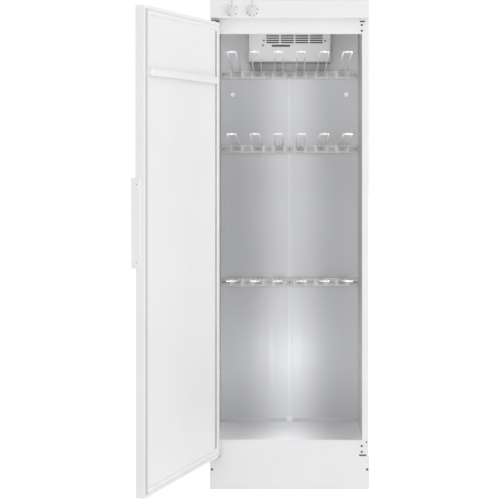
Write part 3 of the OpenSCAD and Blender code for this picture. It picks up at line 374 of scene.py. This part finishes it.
# Parts that look different from the others of their slot
DARK_STEEL = plated("dark_steel", (0.10, 0.10, 0.105), rough=0.45)
OWN_FINISH = {
    # Faces of the inner panel turned towards the free edge, such as the recess wall on the hinge side, get a
    # painted shade
    "door_inner_panel": painted("inner_panel_white", DOOR_COLOUR, rough=0.36, grain=1100,
                                shade_facing=ACROSS),
    # The tray's top is a far paler copy of the zinc, a painted reflection; its faces turned to the front keep a
    # darker zinc
    "floor_tray": galvanised("zinc_tray_painted_reflection", (0.72, 0.723, 0.737), rough=0.45,
                             lip=(0.45, 0.452, 0.46)),
    "back_joint_strip": galvanised("zinc_joint_strip", (0.525, 0.528, 0.538)),
    # The hinges are dark steel as a painted shade in the gap under the fascia; the casing screws are dark steel
    "hinge_top": DARK_STEEL,
    "hinge_bottom": DARK_STEEL,
    "casing_screws": DARK_STEEL,
}

# Finishes of the small pieces
FOOT = galvanised("zinc_foot", (0.58, 0.583, 0.593))
# Grey of the strip that is painted shade along the door's free edge
EDGE_SHADE = moulded("edge_shade_grey", (0.67, 0.67, 0.67), rough=0.5)
# Black of the sheet that is painted shade behind the grille
GRILLE_SHADE = moulded("grille_shade_black", (0.02, 0.02, 0.02), rough=0.9)
# Dark ink for the print on the fascia and the heat knob, and painted shade in screw recesses and around screws,
# holes and slots
INK_AND_SHADE = moulded("dark_ink_and_painted_shade", (0.07, 0.07, 0.075), rough=0.55, spread=0.05)
GREY_INK = moulded("grey_ink", (0.2, 0.2, 0.21), rough=0.55, spread=0.05)

for part in frame["record"]["subparts"]:
    name = part["node"]
    finish = OWN_FINISH.get(name, FINISH[part["material_slot"]])
    nodes[name].data.materials.clear()
    nodes[name].data.materials.append(finish)

# ---- outlines and forms of the small pieces, in mm ----

SIDES = 24


def disc(radius, stretch=1.0):
    """A circle's outline, or an ellipse's that is stretched along X."""
    angles = (2 * math.pi * i / SIDES for i in range(SIDES))
    return [(stretch * radius * math.cos(a), radius * math.sin(a)) for a in angles]


def rectangle(width, height):
    x, y = width / 2, height / 2
    return [(-x, -y), (x, -y), (x, y), (-x, y)]


def cross(reach, half):
    """Outline of a cross recess, by its arms' reach and half their width."""
    corner = [(half, half), (half, reach), (-half, reach)]
    outline = []
    for turn in range(4):
        a = turn * math.pi / 2
        for x, y in corner:
            outline.append((x * math.cos(a) - y * math.sin(a), x * math.sin(a) + y * math.cos(a)))
    return outline


def place_at(point, normal, turn=0.0):
    """A matrix from a piece's own mm to the scene's metres, with its Z axis along the normal."""
    out = Vector(normal)
    right = Vector((0, 0, 1)).cross(out).normalized()
    base = Matrix((right, out.cross(right), out)).transposed().to_4x4()
    spin = Matrix.Rotation(turn, 4, "Z")
    return Matrix.Translation(Vector(point) * MM) @ base @ spin @ Matrix.Scale(MM, 4)


def add_loop(mesh, outline, place, level):
    return [mesh.verts.new(place @ Vector((x, y, level))) for x, y in outline]


def add_band(mesh, a, b):
    """Faces between two loops, looking outwards where b lies above a."""
    for i, start in enumerate(a):
        j = (i + 1) % len(a)
        mesh.faces.new((start, a[j], b[j], b[i]))


def add_prism(mesh, outline, place, height):
    """A prism on a counter-clockwise outline, standing on the place's own XY plane."""
    low = add_loop(mesh, outline, place, 0)
    high = add_loop(mesh, outline, place, height)
    mesh.faces.new(list(reversed(low)))
    mesh.faces.new(high)
    add_band(mesh, low, high)


def add_ring(mesh, radii, place, height):
    """A flat ring between two radii, standing on the place's own XY plane."""
    inner, outer = radii
    circles = ((inner, 0), (outer, 0), (outer, height), (inner, height))
    loops = [add_loop(mesh, disc(radius), place, level) for radius, level in circles]
    for i, loop in enumerate(loops):
        add_band(mesh, loop, loops[(i + 1) % len(loops)])


def piece(name, mesh, finish, body):
    """An object of one finished mesh that rides on a body."""
    data = bpy.data.meshes.new(name)
    mesh.to_mesh(data)
    mesh.free()
    data.materials.append(finish)
    made = bpy.data.objects.new(name, data)
    scene.collection.objects.link(made)
    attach(made, body)


# ---- print on the fascia and the knobs ----

# Each knob's joint, its ink, and the angles of its marks, counter-clockwise from the right
KNOBS = {
    "timer_knob": ("timer_turn", GREY_INK, (-122, -98, -40, 36)),
    "heat_knob": ("heat_turn", INK_AND_SHADE, (-154, -118, -76, -33, 11)),
}
TICK_RISE = 33
TICK_FACE = FASCIA_FRONT + 0.02

# The marks lie on the slope of a knob's skirt, and the line in its pointer's groove
KNOB_BACK = FASCIA_FRONT - 0.4
SLOPE = math.atan2(0.8, 3)
SLOPE_RADIUS = 20
SLOPE_FACE = KNOB_BACK - 4.1
GROOVE_FACE = KNOB_BACK - 18.2
GROOVE_MIDDLE = 12.6

ticks = bmesh.new()
for joint, _, _ in KNOBS.values():
    centre = joint_place(joint)
    spot = (centre.x, TICK_FACE, centre.z + TICK_RISE)
    add_prism(ticks, rectangle(1.9, 7.5), place_at(spot, FRONT), 0.1)
piece("fascia_ticks", ticks, INK_AND_SHADE, "cabinet")

for knob, (joint, ink, angles) in KNOBS.items():
    centre = joint_place(joint)
    marks = bmesh.new()
    for angle in (math.radians(a) for a in angles):
        out = Vector((math.cos(angle), 0, math.sin(angle)))
        spot = Vector((centre.x, SLOPE_FACE, centre.z)) + SLOPE_RADIUS * out
        normal = math.cos(SLOPE) * Vector(FRONT) + math.sin(SLOPE) * out
        add_prism(marks, disc(1.9, stretch=1.5), place_at(spot, normal, angle + math.pi / 2), 0.12)
    spot = (centre.x, GROOVE_FACE, centre.z + GROOVE_MIDDLE)
    add_prism(marks, rectangle(1, 13), place_at(spot, FRONT), 0.15)
    piece(knob + "_marks", marks, ink, knob)

# ---- dark crosses in the screws' heads, painted shade in their recesses ----

RAIL_SCREWS_X = (-275, 0, 275)
HOUSING_SCREWS = ((-104.5, 1724), (144.5, 1723), (-108.5, 1705))
PLINTH_SCREWS = ((-292, 76), (292, 76))
HINGE_X = 272
HINGE_HEIGHTS = (1750, 1728, 142.1, 164.1)
REAR_SCREW_X = 287.5
REAR_SCREW_INSET = 60
REAR_SCREW_PITCH = (CASING_TOP - CASING_LOW - 2 * REAR_SCREW_INSET) / 4
HANDLE_SCREWS = [(298.5, -317.6, z) for z in (908.5, 1164.5)]
TOWEL_RAIL_SCREWS = [(x, -290, 1536.5) for x in (-253.1, 253.1)]
HEAD_RISE = 1.06
CROSS = cross(1.35, 0.32)
HINGE_CROSS = cross(1.6, 0.36)

# Each screw stopped at another turn
turns = itertools.count(0.3, 0.9)


def add_recess(mesh, point, normal, outline=CROSS):
    """A cross in a screw's head, given where the screw comes out of its sheet."""
    spot = Vector(point) + HEAD_RISE * Vector(normal)
    add_prism(mesh, outline, place_at(spot, normal, next(turns)), 0.07)


recesses = bmesh.new()
for z in RAIL_MIDDLES:
    for x in RAIL_SCREWS_X:
        add_recess(recesses, (x, PAD_FACE, z), FRONT)
for x, z in HOUSING_SCREWS:
    add_recess(recesses, (x, HOUSING_FRONT, z), FRONT)
for x, z in PLINTH_SCREWS:
    add_recess(recesses, (x, CASING_FRONT, z), FRONT)
for z in HINGE_HEIGHTS:
    add_recess(recesses, (-HINGE_X, CASING_FRONT, z), FRONT, HINGE_CROSS)
for x in (-REAR_SCREW_X, REAR_SCREW_X):
    for k in range(5):
        z = CASING_LOW + REAR_SCREW_INSET + k * REAR_SCREW_PITCH
        add_recess(recesses, (x, CASING_BACK, z), BACK)
piece("casing_screw_recesses", recesses, INK_AND_SHADE, "cabinet")

recesses = bmesh.new()
for point in HANDLE_SCREWS:
    add_recess(recesses, on_door(point), ACROSS)
for point in TOWEL_RAIL_SCREWS:
    add_recess(recesses, on_door(point), INWARD)
piece("door_screw_recesses", recesses, INK_AND_SHADE, "door")

# ---- flat grey strip along the free edge of the door's inner face, painted shade at that edge ----

STRIP_X = 290.4
STRIP_INSET = 10
DOOR_FACE = CASING_FRONT - 3
edge_shade_mesh = bmesh.new()
spot = on_door((STRIP_X, DOOR_FACE, (DOOR_LOW + DOOR_HIGH) / 2))
length = DOOR_HIGH - DOOR_LOW - 2 * STRIP_INSET
add_prism(edge_shade_mesh, rectangle(6, length), place_at(spot, INWARD), 0.5)
piece("edge_shade_strip", edge_shade_mesh, EDGE_SHADE, "door")

# ---- painted shade: dark rims around the small screws, the spare hinge holes and the slots, and dark backs behind them ----

RIM = 0.15
HINGE_RIM = (2.6, 4.2)
PLINTH_RIM = (3.05, 4.6)
HOUSING_RIM = (3.05, 4.2)
STUD = (289.5, CASING_FRONT, 179)

# The slots' X, Z and width, and the depth of the dark backs behind them and behind the holes, which are painted
# shade
SPARE_SLOTS = ((274, 1763.3, 20), (275.5, 129.3, 28))
SLOT_HALF = 2.65
SLOT_BACK = CASING_FRONT + 1
HOLE_BACKS = [(273, CASING_FRONT + 1.9, z) for z in (1748, 147)]
BACKING = 0.5

shade_rims = bmesh.new()
for z in HINGE_HEIGHTS:
    add_ring(shade_rims, HINGE_RIM, place_at((HINGE_X, BOSS_FRONT, z), FRONT), RIM)
# A dark disc at the stud, painted shade
add_prism(shade_rims, disc(3.2), place_at(STUD, FRONT), BACKING)
for x, z, width in SPARE_SLOTS:
    for edge in (z - SLOT_HALF, z + SLOT_HALF):
        add_prism(shade_rims, rectangle(width, 0.9), place_at((x, CASING_FRONT, edge), FRONT), RIM)
    add_prism(shade_rims, rectangle(width - 1, 4.6), place_at((x, SLOT_BACK, z), FRONT), BACKING)
for point in HOLE_BACKS:
    add_prism(shade_rims, rectangle(38, 50), place_at(point, FRONT), BACKING)
for x, z in PLINTH_SCREWS:
    add_ring(shade_rims, PLINTH_RIM, place_at((x, CASING_FRONT, z), FRONT), RIM)
for x, z in HOUSING_SCREWS:
    add_ring(shade_rims, HOUSING_RIM, place_at((x, HOUSING_FRONT, z), FRONT), RIM)
piece("painted_shade_rims_and_backs", shade_rims, INK_AND_SHADE, "cabinet")

# ---- bright foot of the strip over the back wall's joint ----

FOOT_PLACE = (0, 212.5, 155)
foot = bmesh.new()
add_prism(foot, rectangle(24, 22), place_at(FOOT_PLACE, FRONT), 1.5)
piece("joint_strip_foot", foot, FOOT, "cabinet")

# ---- dark sheet behind the grille, painted shade in its slots ----

GRILLE_SHADE_PLACE = (20, HOUSING_FRONT + 11, 1735)
shade_sheet = bmesh.new()
add_prism(shade_sheet, rectangle(250, 48), place_at(GRILLE_SHADE_PLACE, FRONT), 1)
piece("grille_shade_sheet", shade_sheet, GRILLE_SHADE, "cabinet")

# ---- floor and world: both look white, and light the object more softly ----

WHITE = (1, 1, 1, 1)
AMBIENT = 0.65
FLOOR_GLOW = 0.65


def pale_floor():
    """Plain floor that looks white and keeps the object's shadow."""
    n = Finish("pale_floor", Roughness=0.9)
    n.colour(n.mix(n.span(n.noise(0.8, 2), 0, 1), (0.93, 0.93, 0.93), (0.95, 0.95, 0.95)))
    dim = n.add("ShaderNodeMath", operation="MULTIPLY")
    n.link(n.viewing_rays(), dim.inputs[0])
    dim.inputs[1].default_value = FLOOR_GLOW
    glow = n.add("ShaderNodeEmission")
    n.link(dim.outputs[0], glow.inputs["Strength"])
    both = n.add("ShaderNodeAddShader")
    n.link(n.shader.outputs[0], both.inputs[0])
    n.link(glow.outputs[0], both.inputs[1])
    n.link(both.outputs[0], n.out.inputs[0])
    return n.material


bpy.ops.mesh.primitive_plane_add(size=60, location=(0, 0, 0))
floor = bpy.context.object
floor.name = "floor"
floor.data.materials.append(pale_floor())

world = bpy.data.worlds.new("world")
scene.world = world
world.use_nodes = True
sky = Tree(world.node_tree)
lighting = sky.add("ShaderNodeBackground", Color=WHITE, Strength=AMBIENT)
seen = sky.add("ShaderNodeBackground", Color=WHITE)
pick = sky.add("ShaderNodeMixShader")
sky.link(sky.viewing_rays(), pick.inputs[0])
sky.link(lighting.outputs[0], pick.inputs[1])
sky.link(seen.outputs[0], pick.inputs[2])
sky.link(pick.outputs[0], sky.add("ShaderNodeOutputWorld").inputs[0])

# ---- lamps ----


def softbox(name, place, target, size, power):
    """A rectangular lamp that looks at a point."""
    data = bpy.data.lights.new(name, "AREA")
    data.shape = "RECTANGLE"
    data.size, data.size_y = size
    data.energy = power
    lamp = bpy.data.objects.new(name, data)
    lamp.location = place
    lamp.rotation_euler = (Vector(target) - Vector(place)).to_track_quat("-Z", "Y").to_euler()
    scene.collection.objects.link(lamp)


# Large ones around the cabinet
softbox("front_light", (-1.4, -4.4, 1.2), (0, 0, 1.0), size=(2.4, 1.6), power=18)
softbox("top_light", (0.2, -3.0, 3.4), (0, 0, 0.5), size=(2.2, 1.6), power=13)
softbox("side_light", (3.4, -2.2, 1.6), (-0.4, -0.4, 1.0), size=(1.6, 2.4), power=36)

# Small ones inside the doorway, for the light that the photographed chamber gets
DOORWAY = -0.262
softbox("chamber_top_light", (0, DOORWAY, 1.735), (0, 0.15, 1.45), size=(0.36, 0.04), power=0.25)
softbox("chamber_low_light", (-0.03, DOORWAY, 0.36), (-0.05, 0.19, 0.25), size=(0.26, 0.06),
        power=0.85)
for side, strip_share, corner_power in ((-1, 0.75, 0.45), (1, 1, 0.3)):
    for z, power in ((0.84, 0.42), (1.45, 0.4)):
        softbox("chamber_strip", (side * 0.281, DOORWAY, z), (-side * 0.28, -0.02, z),
                size=(0.01, 0.5), power=strip_share * power)
    softbox("chamber_corner_light", (side * 0.17, -0.2, 1.735), (side * 0.29, 0.1, 1.69),
            size=(0.1, 0.04), power=corner_power)

scene.view_settings.view_transform = "Standard"
